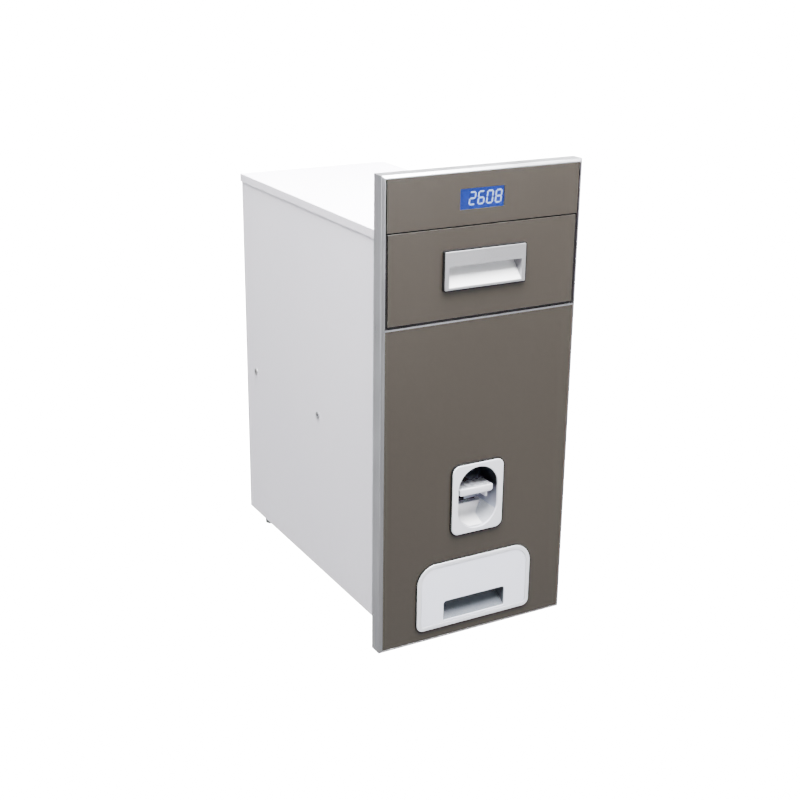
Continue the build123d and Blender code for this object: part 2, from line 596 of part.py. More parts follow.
# the underside's ends slope in to clear the round bottom of the recess when pressed
PADDLE_BEVEL = 4.0
with BuildPart() as lever_paddle:
    brick(-PADDLE_W / 2, PADDLE_W / 2, *PADDLE_Y, *PADDLE_Z)
    chamfer(lever_paddle.edges().filter_by(Axis.Y).group_by(Axis.Z)[0], PADDLE_BEVEL)
    fillet(lever_paddle.edges().filter_by(Axis.X), 1.5)
    fillet(lever_paddle.faces().filter_by(Axis.X).edges(), 0.8)
    brick(16.5, 19.5, -246, -231, 201, PADDLE_Z[0] + 1)
save(lever_paddle, "lever_paddle")

with BuildPart() as lever_arm:
    side_profile([(PADDLE_Y[1], 210), (PADDLE_Y[1], 220), (PIVOT[0], 224), (PIVOT[0], 206)], -4, 4)
    rod(-6, 6, *PIVOT, 10)
    rod(-10, 10, *PIVOT, SHAFT_R, Mode.SUBTRACT)
save(lever_arm, "lever_arm")

with BuildPart() as lever_shaft:
    rod(-54, 60, *PIVOT, SHAFT_R)
save(lever_shaft, "lever_shaft")

SPRING_R = 7.6
WIRE_R = 0.8
with BuildPart() as lever_spring:
    with BuildLine():
        coil = Helix(2.6, 23.4, SPRING_R, center=(14, *PIVOT), direction=(1, 0, 0))
    with BuildSketch(Plane(origin=coil @ 0, z_dir=coil % 0)):
        Circle(WIRE_R)
    sweep(is_frenet=True)
save(lever_spring, "lever_spring")

# ---------------------------------------------------------------- feed drawer
DRAWER_HALF = 140.7
TRAY_HALF = 104.0
with BuildPart() as drawer_glass:
    brick(-DRAWER_HALF, DRAWER_HALF, GLASS_Y, GLASS_REAR_Y, DRAWER_Z0, DRAWER_Z1)
    brick(-58, 58, GLASS_Y - 1, 0, PULL_Z[0] + 3, PULL_Z[1] - 3, Mode.SUBTRACT)
save(drawer_glass, "drawer_glass")

BACKING_Y = (GLASS_REAR_Y, REBATE_Y - 0.3)
with BuildPart() as drawer_backing:
    brick(-DRAWER_HALF + 2, DRAWER_HALF - 2, *BACKING_Y, DRAWER_Z0 + 2, DRAWER_Z1 - 2)
    brick(-58, 58, GLASS_Y - 1, 0, PULL_Z[0] + 3, PULL_Z[1] - 3, Mode.SUBTRACT)
save(drawer_backing, "drawer_backing")

with BuildPart() as pull_gasket:
    rounded_panel(PULL_W + 3, grown(PULL_Z, 1.5), GLASS_Y - SEAL_T, GLASS_Y, 2.5, 2.5)
    brick(-58, 58, GLASS_Y - 2, 0, PULL_Z[0] + 3, PULL_Z[1] - 3, Mode.SUBTRACT)
save(pull_gasket, "pull_gasket")

PULL_IN = 55.0
PULL_FLOOR_Z = 506.0
PULL_REAR_Y = -229.0
with BuildPart() as drawer_pull:
    rounded_panel(PULL_W, PULL_Z, PULL_Y, GLASS_Y - SEAL_T, 1.5, 1.5)
    pull_front = drawer_pull.faces().sort_by(Axis.Y)[0].outer_wire().edges()
    fillet(pull_front, 0.8)
    brick(-57.5, 57.5, GLASS_Y - SEAL_T, PULL_REAR_Y + 1.5, PULL_Z[0] + 3.3, PULL_Z[1] - 3.3)
    cavity = [(PULL_Y - 1, PULL_FLOOR_Z), (PULL_Y, PULL_FLOOR_Z), (PULL_REAR_Y, 534), (PULL_REAR_Y, 548.5),
              (GLASS_Y - 1.0, 548.5), (GLASS_Y - 1.0, PULL_LIP_Z), (PULL_Y - 1, PULL_LIP_Z)]
    side_profile(cavity, -PULL_IN, PULL_IN, Mode.SUBTRACT)
save(drawer_pull, "drawer_pull")

TRAY_Y = (-226.0, 10.0, 60.0)
with BuildPart() as drawer_tray:
    side_profile([(TRAY_Y[0], 565), (TRAY_Y[0], 520), (TRAY_Y[1], 474), (TRAY_Y[2], 474), (TRAY_Y[2], 565)],
                 -TRAY_HALF, TRAY_HALF)
    side_profile([(TRAY_Y[0] + 2, 570), (TRAY_Y[0] + 2, 522.3), (TRAY_Y[1], 476.3), (TRAY_Y[1], 470),
                  (TRAY_Y[2] + 1, 470), (TRAY_Y[2] + 1, 570)], 2 - TRAY_HALF, TRAY_HALF - 2, Mode.SUBTRACT)
save(drawer_tray, "drawer_tray")

with BuildPart() as drawer_brackets:
    for side in (-1, 1):
        brick(*sorted((side * TRAY_HALF, side * (TRAY_HALF + 1.5))), BACKING_Y[1], -190, 538, 562)
        brick(*sorted((side * TRAY_HALF, side * 128)), BACKING_Y[1], BACKING_Y[1] + 1.5, 538, 562)
save(drawer_brackets, "drawer_brackets")

SLIDE_Y = (-224.0, 200.0)
SLIDE_LIP_X = 110.0
SLIDE_HEAD_X = 118.0
with BuildPart() as drawer_slide_channels:
    for side in (-1, 1):
        brick(*sorted((side * WALL_IN, side * (WALL_IN - 1.4))), *SLIDE_Y, 490, 534)
        for z0, z1, lip_z0, lip_z1 in ((490, 491.4, 491.4, 499), (532.6, 534, 525, 532.6)):
            brick(*sorted((side * (WALL_IN - 1.4), side * SLIDE_LIP_X)), *SLIDE_Y, z0, z1)
            brick(*sorted((side * (SLIDE_LIP_X + 1.4), side * SLIDE_LIP_X)), *SLIDE_Y, lip_z0, lip_z1)
save(drawer_slide_channels, "drawer_slide_channels")

with BuildPart() as drawer_slide_runners:
    for side in (-1, 1):
        brick(*sorted((side * TRAY_HALF, side * (TRAY_HALF + 1.4))), SLIDE_Y[0], 170, 498, 526)
        brick(*sorted((side * (TRAY_HALF + 1.4), side * SLIDE_HEAD_X)), SLIDE_Y[0], 170, 509, 515)
        brick(*sorted((side * (SLIDE_LIP_X + 2.6), side * SLIDE_HEAD_X)), SLIDE_Y[0], 170, 503, 521)
save(drawer_slide_runners, "drawer_slide_runners")

# ---------------------------------------------------------------- rice box
BOX_FACE_Y = GLASS_Y - 2.0
BOX_BACK_Y = -244.0
CUP_HALF = GRIP_W / 2 + 2
GRIP_REAR_Y = -222.0
with BuildPart() as grip_cavity:
    rounded_panel(GRIP_W, GRIP_Z, BOX_FACE_Y - 1, GRIP_REAR_Y, 5, 1)
    side_profile([(BOX_FACE_Y - 1, GRIP_Z[0]), (BOX_FACE_Y, GRIP_Z[0]), (GRIP_REAR_Y, 46),
                  (GRIP_REAR_Y, GRIP_Z[1]), (BOX_FACE_Y - 1, GRIP_Z[1])], -GRIP_W, GRIP_W, Mode.INTERSECT)

with BuildPart() as rice_box_front:
    rounded_panel(BOX_FRONT_W, BOX_FRONT_Z, BOX_FACE_Y, BOX_BACK_Y, 22, 4)
    brick(-CUP_HALF, CUP_HALF, BOX_BACK_Y, GRIP_REAR_Y + 2, GRIP_Z[0] - 2, GRIP_Z[1] + 2)
    add(grip_cavity.part, mode=Mode.SUBTRACT)
save(rice_box_front, "rice_box_front")

BOX_HALF = 83.0
BOX_REAR_Y = -78.0
BOX_Z = (26.3, 98.0)
with BuildPart() as rice_box_tray:
    brick(-BOX_HALF, BOX_HALF, BOX_BACK_Y, BOX_REAR_Y, *BOX_Z)
    brick(2 - BOX_HALF, BOX_HALF - 2, BOX_BACK_Y + 2, BOX_REAR_Y - 2, BOX_Z[0] + 2, 120, Mode.SUBTRACT)
    fillet(rice_box_tray.edges().filter_by(Axis.Z).group_by(Axis.Y)[-1], 3)
    brick(-CUP_HALF, CUP_HALF, BOX_BACK_Y - 1, GRIP_REAR_Y + 2, GRIP_Z[0] - 2, GRIP_Z[1] + 2, Mode.SUBTRACT)
save(rice_box_tray, "rice_box_tray")

with BuildPart() as rice_box_guides:
    for side in (-1, 1):
        brick(*sorted((side * 70, side * 86)), -224, -60, BODY_Z0 + 2 * SHEET, 26)
        brick(*sorted((side * 84, side * 86)), -224, -60, 26, 60)
save(rice_box_guides, "rice_box_guides")
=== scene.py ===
"""Looks of the built-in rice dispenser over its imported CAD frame. Metres, +Z up, front faces -Y."""
import json
import math
import bmesh
import bpy
from mathutils import Matrix, Vector


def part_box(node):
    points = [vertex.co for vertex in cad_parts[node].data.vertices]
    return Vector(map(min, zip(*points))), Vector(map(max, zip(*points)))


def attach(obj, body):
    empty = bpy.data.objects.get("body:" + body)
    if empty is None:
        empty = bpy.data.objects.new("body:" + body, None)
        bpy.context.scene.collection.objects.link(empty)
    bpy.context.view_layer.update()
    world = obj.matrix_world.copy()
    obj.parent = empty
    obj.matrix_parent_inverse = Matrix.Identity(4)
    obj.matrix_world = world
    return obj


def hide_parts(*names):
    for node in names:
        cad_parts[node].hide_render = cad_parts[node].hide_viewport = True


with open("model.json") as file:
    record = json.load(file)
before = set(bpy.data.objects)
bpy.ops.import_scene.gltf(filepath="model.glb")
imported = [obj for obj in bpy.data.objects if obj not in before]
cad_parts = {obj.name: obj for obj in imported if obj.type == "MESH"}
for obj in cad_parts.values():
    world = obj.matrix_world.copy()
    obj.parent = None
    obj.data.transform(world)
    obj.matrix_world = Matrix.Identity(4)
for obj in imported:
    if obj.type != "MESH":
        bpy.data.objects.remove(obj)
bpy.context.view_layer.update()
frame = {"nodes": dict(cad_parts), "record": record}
NODES = frame["nodes"]
MM = 0.001
GLASS_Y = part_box("lower_glass")[0].y / MM     # front plane of the glass, in mm


# ---------------------------------------------------------------- camera, light and floor
CAMERA_AT = (-0.9307, -1.6952, 0.9581)
CAMERA_AZIMUTH = -29.24                       # degrees, 0 looks along +Y
CAMERA_ELEVATION = 19.69
CAMERA_ROLL = -0.68
CAMERA_LENS = 61.6
LIGHTS = (                                    # name, place, aim, size, power, colour
    ("top_softbox", (-0.1, -0.55, 1.9), (0.0, -0.1, 0.4), (1.5, 1.5), 315.0, (1.0, 1.0, 1.0)),
    ("cover_softbox", (0.0, 0.0, 1.75), (0.0, 0.0, 0.6), (0.5, 0.4), 135.0, (1.0, 1.0, 1.0)),
    ("left_softbox", (-2.2, 0.5, 0.1), (0.0, 0.05, 0.15), (1.4, 1.0), 26.0, (0.97, 0.97, 1.0)),
    ("front_fill", (0.5, -2.4, 0.9), (0.0, -0.2, 0.1), (1.2, 1.0), 26.0, (0.97, 0.98, 1.0)),
)
WORLD_STRENGTH = 0.5
STAGE_REACH = 30.0                            # half the floor's side and the walls' height, in metres
STAGE_GLOW = 20.0
FLOOR_DROP = 0.0005                           # keeps the floor clear of the feet


def make_camera():
    """A camera before the left front corner, above the object's top, as a product shot is taken."""
    data = bpy.data.cameras.new("camera")
    data.lens = CAMERA_LENS
    camera = bpy.data.objects.new("camera", data)
    bpy.context.scene.collection.objects.link(camera)
    camera.location = CAMERA_AT
    azimuth = math.radians(CAMERA_AZIMUTH)
    elevation = math.radians(CAMERA_ELEVATION)
    back = Vector((math.sin(azimuth) * math.cos(elevation), -math.cos(azimuth) * math.cos(elevation),
                   math.sin(elevation)))
    level = (-back).to_track_quat("-Z", "Y")
    roll = Matrix.Rotation(math.radians(CAMERA_ROLL), 4, -back).to_quaternion()
    camera.rotation_mode = "QUATERNION"
    camera.rotation_quaternion = roll @ level
    bpy.context.scene.camera = camera


def area_light(name, at, aim, size, power, colour):
    """A rectangular soft light at a place in metres, turned to its aim."""
    data = bpy.data.lights.new(name, "AREA")
    data.shape = "RECTANGLE"
    data.size, data.size_y = size
    data.energy = power
    data.color = colour
    light = bpy.data.objects.new(name, data)
    bpy.context.scene.collection.objects.link(light)
    light.location = at
    light.rotation_mode = "QUATERNION"
    light.rotation_quaternion = (Vector(aim) - Vector(at)).to_track_quat("-Z", "Y")


def make_light():
    """A weak white world and four soft lights."""
    world = bpy.data.worlds.new("studio")
    bpy.context.scene.world = world
    world.use_nodes = True
    background = world.node_tree.nodes["Background"]
    background.inputs["Color"].default_value = (1.0, 1.0, 1.0, 1.0)
    background.inputs["Strength"].default_value = WORLD_STRENGTH
    for light in LIGHTS:
        area_light(*light)


def make_floor():
    """A white floor with far white walls and a ceiling."""
    reach = STAGE_REACH
    low = [(-reach, -reach), (reach, -reach), (reach, reach), (-reach, reach)]
    points = [(x, y, z) for z in (0.0, reach) for x, y in low]
    floor = stage_piece("floor", points[:4], [(0, 1, 2, 3)])
    floor.location.z = -FLOOR_DROP
    walls = [(i, (i + 1) % 4, (i + 1) % 4 + 4, i + 4) for i in range(4)]
    stage_piece("backdrop", points, [*walls, (4, 5, 6, 7)])


def stage_piece(name, points, faces):
    """A glowing paper surface that the camera sees, but that neither lights the object nor shows in it."""
    mesh = bpy.data.meshes.new(name)
    mesh.from_pydata(points, [], faces)
    piece = bpy.data.objects.new(name, mesh)
    bpy.context.scene.collection.objects.link(piece)
    s = Shader(name + "_paper")
    s.set(roughness=0.9, emission_color=(1.0, 1.0, 1.0, 1.0), emission_strength=STAGE_GLOW)
    cloud = s.ramp(s.noise(3.0, 4.0), 0.3, 0.7)
    s.link(s.mix(cloud, (0.93, 0.93, 0.93), (0.95, 0.95, 0.95)), "Base Color")
    mesh.materials.append(s.material)
    piece.visible_diffuse = False
    piece.visible_glossy = False
    piece.visible_transmission = False
    piece.visible_shadow = False
    return piece


# ---------------------------------------------------------------- materials
class Shader:
    """A Principled material with short calls for its procedural nodes."""

    def __init__(self, name):
        self.material = bpy.data.materials.new(name)
        self.material.use_nodes = True
        self.tree = self.material.node_tree
        self.bsdf = self.tree.nodes["Principled BSDF"]
        self.coordinates = self.tree.nodes.new("ShaderNodeTexCoord").outputs["Object"]

    def set(self, **values):
        """Constant socket values, the socket's name in lower case with underscores."""
        for key, value in values.items():
            name = key.replace("_", " ").title().replace("Ior", "IOR")
            self.bsdf.inputs[name].default_value = value

    def node(self, kind, inputs=None, **settings):
        node = self.tree.nodes.new("ShaderNode" + kind)
        for key, value in settings.items():
            setattr(node, key, value)
        for key, value in (inputs or {}).items():
            if isinstance(value, bpy.types.NodeSocket):
                self.tree.links.new(value, node.inputs[key])
            else:
                node.inputs[key].default_value = value
        return node

    def stretched(self, scale):
        """Object coordinates multiplied per axis."""
        return self.node("Mapping", {"Vector": self.coordinates, "Scale": scale}).outputs["Vector"]

    def noise(self, scale, detail=3.0, vector=None, rough=0.5):
        inputs = {"Vector": vector or self.coordinates, "Scale": scale, "Detail": detail,
                  "Roughness": rough}
        return self.node("TexNoise", inputs).outputs["Fac"]

    def cells(self, scale, feature="SMOOTH_F1", output="Distance", vector=None):
        inputs = {"Vector": vector or self.coordinates, "Scale": scale}
        return self.node("TexVoronoi", inputs, feature=feature).outputs[output]

    def ramp(self, value, low, high, to_low=0.0, to_high=1.0):
        inputs = {"Value": value, "From Min": low, "From Max": high, "To Min": to_low, "To Max": to_high}
        return self.node("MapRange", inputs).outputs["Result"]

    def math(self, operation, a, b):
        return self.node("Math", {0: a, 1: b}, operation=operation).outputs["Value"]

    def add(self, *values):
        total = values[0]
        for value in values[1:]:
            total = self.math("ADD", total, value)
        return total

    def times(self, a, b):
        return self.math("MULTIPLY", a, b)

    def mix(self, factor, a, b):
        node = self.node("Mix", {"Factor": factor}, data_type="RGBA")
        for index, value in ((6, a), (7, b)):
            if isinstance(value, bpy.types.NodeSocket):
                self.tree.links.new(value, node.inputs[index])
            else:
                node.inputs[index].default_value = (*value, 1.0)
        return node.outputs[2]

    def edge_wear(self, radius):
        """1 on edges, 0 on flats."""
        bevel = self.node("Bevel", {"Radius": radius}, samples=4).outputs["Normal"]
        normal = self.node("NewGeometry").outputs["Normal"]
        dot = self.node("VectorMath", {0: bevel, 1: normal}, operation="DOT_PRODUCT").outputs["Value"]
        return self.ramp(dot, 0.995, 0.90)

    def height_above(self, low, high):
        """0 at the lower height, 1 at the upper one, in metres."""
        z = self.node("SeparateXYZ", {"Vector": self.coordinates}).outputs["Z"]
        return self.ramp(z, low, high)

    def scratches(self, scale):
        """A few fine lines in two directions."""
        lines = []
        for turn in (0.5, 2.1):
            vector = self.node("Mapping", {"Vector": self.coordinates, "Rotation": (turn, turn, turn),
                                           "Scale": (scale, scale * 0.02, scale)}).outputs["Vector"]
            lines.append(self.ramp(self.noise(1.0, 2.0, vector), 0.70, 0.76))
        return self.math("MAXIMUM", *lines)

    def link(self, socket, name):
        self.tree.links.new(socket, self.bsdf.inputs[name])

    def bump(self, height, strength, distance):
        node = self.node("Bump", {"Height": height, "Strength": strength, "Distance": distance})
        self.link(node.outputs["Normal"], "Normal")


def powder_coat(name, colour, tint):
    """Baked powder paint: fine orange peel, a slow drift of tone, faint handling marks, dust low down."""
    s = Shader(name)
    s.set(metallic=0.0, ior=1.5)
    drift = s.ramp(s.noise(5.0, 4.0), 0.35, 0.65)
    marks = s.ramp(s.noise(46.0, 6.0), 0.60, 0.74)
    dust = s.times(s.ramp(s.height_above(0.0, 0.10), 1.0, 0.0), s.ramp(s.noise(90.0, 6.0), 0.45, 0.8))
    worn = s.times(s.edge_wear(0.0007), s.ramp(s.noise(160.0, 3.0), 0.45, 0.6))
    tone = s.mix(s.times(drift, 0.6), colour, tint)
    tone = s.mix(s.times(dust, 0.25), tone, (0.55, 0.53, 0.50))
    s.link(s.mix(s.times(worn, 0.35), tone, (0.62, 0.63, 0.65)), "Base Color")
    s.link(s.add(s.ramp(drift, 0, 1, 0.36, 0.42), s.times(marks, 0.07)), "Roughness")
    s.bump(s.add(s.cells(620.0), s.noise(1500.0, 2.0)), 0.10, 0.0004)
    return s.material


def brushed_metal(name, colour, dark, scale, roughness=0.32, wear=0.15, bump=0.12):
    """Metal with grain lines along one axis; scale is how fine the grain is along X, Y and Z."""
    s = Shader(name)
    s.set(metallic=1.0)
    grain = s.noise(1.0, 5.0, s.stretched(scale), 0.65)
    cloud = s.noise(14.0, 4.0)
    tone = s.mix(s.ramp(grain, 0.25, 0.75), dark, colour)
    edge = s.times(s.edge_wear(0.0008), wear)
    s.link(s.mix(edge, tone, (0.93, 0.93, 0.94)), "Base Color")
    lines = s.ramp(grain, 0.2, 0.8, roughness - 0.07, roughness + 0.09)
    s.link(s.add(lines, s.ramp(cloud, 0.3, 0.7, -0.03, 0.04)), "Roughness")
    s.bump(s.add(grain, s.times(s.scratches(260.0), 0.8)), bump, 0.0002)
    return s.material


def zinc_plate(name):
    """Passivated zinc: crystal spangle, faint rainbow drift, dull spots."""
    s = Shader(name)
    s.set(metallic=1.0)
    spangle = s.cells(420.0, "F1", "Color")
    value = s.node("RGBToBW", {"Color": spangle}).outputs["Val"]
    drift = s.noise(60.0, 3.0)
    tone = s.mix(value, (0.50, 0.52, 0.55), (0.64, 0.65, 0.67))
    s.link(s.mix(s.ramp(drift, 0.45, 0.75, 0.0, 0.3), tone, (0.62, 0.58, 0.46)), "Base Color")
    s.link(s.add(s.ramp(value, 0, 1, 0.28, 0.40), s.ramp(drift, 0.3, 0.7, -0.03, 0.05)), "Roughness")
    s.bump(s.noise(1400.0, 3.0), 0.1, 0.0002)
    return s.material


def painted_glass(name, colour, other):
    """Toughened glass painted on its back: an even tone under a clear gloss, haze, dust, paler edges."""
    s = Shader(name)
    s.set(metallic=0.0, ior=1.5, coat_weight=0.4, coat_roughness=0.12, coat_ior=1.5)
    drift = s.ramp(s.noise(2.2, 1.0), 0.3, 0.7)
    haze = s.ramp(s.noise(1.0, 3.0, s.stretched((12.0, 12.0, 5.0))), 0.3, 0.8)
    dust = s.ramp(s.noise(1300.0, 2.0), 0.70, 0.80)
    edge = s.times(s.edge_wear(0.0005), 0.5)
    tone = s.mix(s.times(dust, 0.10), s.mix(drift, colour, other), (0.35, 0.34, 0.32))
    s.link(s.mix(edge, tone, (0.20, 0.23, 0.21)), "Base Color")
    s.link(s.add(s.ramp(haze, 0, 1, 0.30, 0.36), s.times(dust, 0.1)), "Roughness")
    s.bump(s.noise(900.0, 2.0), 0.012, 0.0002)
    return s.material


def silver_paint(name, colour, other, metallic=0.55, roughness=0.34, coat=0.35):
    """Sprayed silver on moulded plastic: tiny flakes, fine orange peel, edges rubbed brighter."""
    s = Shader(name)
    s.set(metallic=metallic, ior=1.5, coat_weight=coat, coat_roughness=0.18)
    flakes = s.node("RGBToBW", {"Color": s.cells(2600.0, "F1", "Color")}).outputs["Val"]
    drift = s.ramp(s.noise(16.0, 4.0), 0.35, 0.65)
    tone = s.mix(s.times(drift, 0.7), colour, other)
    tone = s.mix(s.ramp(flakes, 0.0, 1.0, 0.0, 0.14), tone, (0.95, 0.95, 0.97))
    s.link(s.mix(s.times(s.edge_wear(0.0007), 0.3), tone, (0.90, 0.90, 0.91)), "Base Color")
    marks = s.times(s.ramp(s.noise(70.0, 5.0), 0.6, 0.75), 0.06)
    s.link(s.add(s.ramp(flakes, 0, 1, roughness - 0.05, roughness + 0.06), marks), "Roughness")
    s.bump(s.add(s.cells(900.0), s.times(flakes, 0.4)), 0.07, 0.0003)
    return s.material


def painted_shade_liner(name):
    """Gloss lining with painted shade: nearly black above and clearing to silver toward its lower end, in
    place of the shade and dark reflection at the top of the lever's recess.
    """
    s = Shader(name)
    s.set(metallic=0.1, ior=1.5, specular_ior_level=0.3)
    # painted shade: darkest high in the recess, clearing toward its lower end
    fade = s.add(s.height_above(0.180, 0.219), s.times(s.noise(30.0, 2.0), 0.04))
    s.link(s.mix(fade, (0.42, 0.44, 0.54), (0.006, 0.008, 0.013)), "Base Color")
    s.link(s.ramp(s.noise(300.0, 3.0), 0.3, 0.7, 0.32, 0.42), "Roughness")
    s.bump(s.noise(900.0, 2.0), 0.05, 0.0002)
    return s.material


def plain_plastic(name, colour, other, roughness=0.42, grain=900.0, strength=0.08, coat=0.0,
                  specular=0.5):
    """Moulded plastic: fine spark texture, slow tone drift, scuffs and rubbed edges."""
    s = Shader(name)
    s.set(metallic=0.0, coat_weight=coat, coat_roughness=0.15, ior=1.5, specular_ior_level=specular)
    drift = s.ramp(s.noise(18.0, 4.0), 0.35, 0.65)
    fine = s.noise(grain, 3.0)
    scuff = s.ramp(s.noise(75.0, 6.0), 0.60, 0.74)
    paler = tuple(min(1.0, value * 1.3 + 0.02) for value in colour)
    tone = s.mix(s.times(s.edge_wear(0.0006), 0.4), s.mix(drift, colour, other), paler)
    s.link(tone, "Base Color")
    rough = s.ramp(fine, 0.2, 0.8, roughness - 0.06, roughness + 0.08)
    s.link(s.add(rough, s.times(scuff, 0.04)), "Roughness")
    s.bump(s.add(fine, s.times(s.scratches(220.0), 0.4)), strength, 0.0003)
    return s.material


def lit_panel(name, colour, other, glow, strength):
    """Back-lit surface: its own tone drifts slowly, and it gives a little light."""
    s = Shader(name)
    s.set(roughness=0.8, ior=1.5, specular_ior_level=0.04, emission_strength=strength)
    grid = s.times(s.ramp(s.cells(1600.0), 0.2, 0.6), 0.15)
    drift = s.add(s.times(s.ramp(s.noise(30.0, 2.0), 0.35, 0.65), 0.8), grid)
    s.link(s.mix(drift, colour, other), "Base Color")
    s.link(s.mix(drift, glow, tuple(value * 0.86 for value in glow)), "Emission Color")
    s.bump(s.noise(1200.0, 2.0), 0.03, 0.0001)
    return s.material


def clear_lens(name):
    """Clear acrylic with a faint smear."""
    s = Shader(name)
    s.set(transmission_weight=1.0, ior=1.49, base_color=(0.94, 0.97, 1.0, 1.0))
    s.link(s.ramp(s.noise(60.0, 4.0), 0.45, 0.75, 0.02, 0.07), "Roughness")
    s.bump(s.noise(240.0, 2.0), 0.02, 0.0001)
    return s.material


def make_board(name):
    """Circuit board: solder mask over a grid of tracks, with tinned pads."""
    s = Shader(name)
    s.set(ior=1.5, coat_weight=0.4, coat_roughness=0.1)
    tracks = s.node("TexBrick", {"Vector": s.coordinates, "Scale": 330.0, "Mortar Size": 0.10})
    pads = s.ramp(s.cells(240.0, "F1"), 0.16, 0.13)
    tone = s.mix(tracks.outputs["Fac"], (0.012, 0.11, 0.045), (0.02, 0.19, 0.08))
    s.link(s.mix(pads, tone, (0.62, 0.62, 0.60)), "Base Color")
    s.link(pads, "Metallic")
    s.link(s.ramp(s.noise(200.0), 0.3, 0.7, 0.28, 0.4), "Roughness")
    s.bump(s.add(tracks.outputs["Fac"], pads), 0.2, 0.0002)
    return s.material


def make_cells(name):
    """Shrink-wrapped cells: dark sleeve with a paler band toward one end."""
    s = Shader(name)
    s.set(ior=1.5, coat_weight=0.5, coat_roughness=0.12)
    x = s.node("SeparateXYZ", {"Vector": s.coordinates}).outputs["X"]
    band = s.times(s.ramp(x, 0.094, 0.0945), s.ramp(x, 0.109, 0.1085))
    sleeve = s.mix(s.noise(40.0), (0.03, 0.05, 0.045), (0.04, 0.065, 0.06))
    s.link(s.mix(band, sleeve, (0.55, 0.42, 0.20)), "Base Color")
    s.link(s.ramp(s.noise(300.0), 0.3, 0.7, 0.25, 0.36), "Roughness")
    s.bump(s.noise(500.0), 0.05, 0.0002)
    return s.material


def make_materials():
    """One material for each slot of the record, and a few variations."""
    black = plain_plastic("black_plastic", (0.012, 0.012, 0.013), (0.015, 0.015, 0.016), 0.55, specular=0.3)
    seal = plain_plastic("black_seal", (0.006, 0.006, 0.007), (0.010, 0.010, 0.010), 0.7, specular=0.12)
    rubber = plain_plastic("foot_rubber", (0.02, 0.02, 0.021), (0.035, 0.035, 0.034), 0.7, 500.0, 0.2)
    # painted highlight: a whiter plastic standing for the light on the scoops' floors
    scoop = plain_plastic("scoop_painted_highlight", (0.86, 0.86, 0.88), (0.89, 0.89, 0.90), 0.22, 700.0, 0.04, 0.4)
    food = plain_plastic("food_plastic", (0.72, 0.72, 0.70), (0.76, 0.76, 0.74), 0.36, 600.0, 0.06)
    acetal = plain_plastic("acetal", (0.78, 0.78, 0.75), (0.82, 0.82, 0.79), 0.33, 1200.0, 0.05)
    upright = brushed_metal("anodised_upright", (0.64, 0.65, 0.68), (0.51, 0.52, 0.55), (900, 900, 12))
    across = brushed_metal("anodised_across", (0.70, 0.71, 0.74), (0.58, 0.59, 0.62), (12, 900, 900))
    shaft = brushed_metal("ground_steel", (0.66, 0.66, 0.67), (0.5, 0.5, 0.52), (1500, 200, 200), 0.22)
    hopper = brushed_metal("brushed_stainless", (0.68, 0.68, 0.69), (0.52, 0.52, 0.53), (20, 700, 700))
    silver = silver_paint("silver_paint", (0.79, 0.80, 0.87), (0.83, 0.84, 0.90), 0.2)
    box = silver_paint("box_silver", (0.84, 0.86, 1.0), (0.88, 0.89, 1.0), 0.0)
    pull = silver_paint("pull_silver", (0.31, 0.31, 0.33), (0.34, 0.34, 0.36))
    arm = silver_paint("blackened_steel", (0.02, 0.02, 0.022), (0.03, 0.03, 0.032), 0.8, 0.4)
    # painted shade: a darker copy of the trims' silver for the walls of the lever's recess
    cup = silver_paint("cup_painted_shade_silver", (0.60, 0.62, 0.68), (0.63, 0.65, 0.71), 0.35, 0.30)
    # painted shade: a dark copy of the silver paint for the hollow of the rice box's grip
    grip = silver_paint("grip_painted_shade", (0.042, 0.056, 0.080), (0.052, 0.067, 0.094), 0.2, 0.5, 0.0)
    # painted shade: a darker copy of the silver paint for the top of the lever's paddle
    pad = silver_paint("pad_painted_shade", (0.50, 0.52, 0.57), (0.55, 0.57, 0.62), 0.3, 0.4, 0.0)
    panel = lit_panel("liquid_crystal", (0.002, 0.012, 0.13), (0.003, 0.016, 0.15), (0.01, 0.075, 0.6), 0.6)
    lit = lit_panel("digit_lit", (0.45, 0.55, 0.80), (0.50, 0.60, 0.85), (0.42, 0.56, 1.0), 0.9)
    unlit = lit_panel("digit_unlit", (0.002, 0.01, 0.11), (0.002, 0.013, 0.12), (0.001, 0.045, 0.48), 0.5)
    return {
        "frame_aluminium": upright,
        "frame_across": across,
        "zinc_steel": zinc_plate("zinc_plated_steel"),
        "shaft_steel": shaft,
        "hopper_steel": hopper,
        "taupe_glass": painted_glass("back_painted_glass", (0.036, 0.0305, 0.025), (0.041, 0.0352, 0.029)),
        "white_steel": powder_coat("white_powder_coat", (0.79, 0.77, 0.84), (0.81, 0.79, 0.85)),
        "silver_plastic": silver,
        "box_silver": box,
        "pull_silver": pull,
        "black_steel": arm,
        "cup_painted_shade_silver": cup,
        "grip_painted_shade": grip,
        "pad_painted_shade": pad,
        # painted shade and dark reflection for the upper part of the lever's recess
        "hood_painted_shade": painted_shade_liner("hood_painted_shade"),
        "scoop_painted_highlight": scoop,
        "black_seal": seal,
        "feet_rubber": rubber,
        "display_window": clear_lens("display_window"),
        "display_module": panel,
        "digit_lit": lit,
        "digit_unlit": unlit,
        "black_plastic": black,
        "board_green": make_board("circuit_board"),
        "battery_wrap": make_cells("cell_wrap"),
        "food_plastic": food,
        "acetal": acetal,
    }


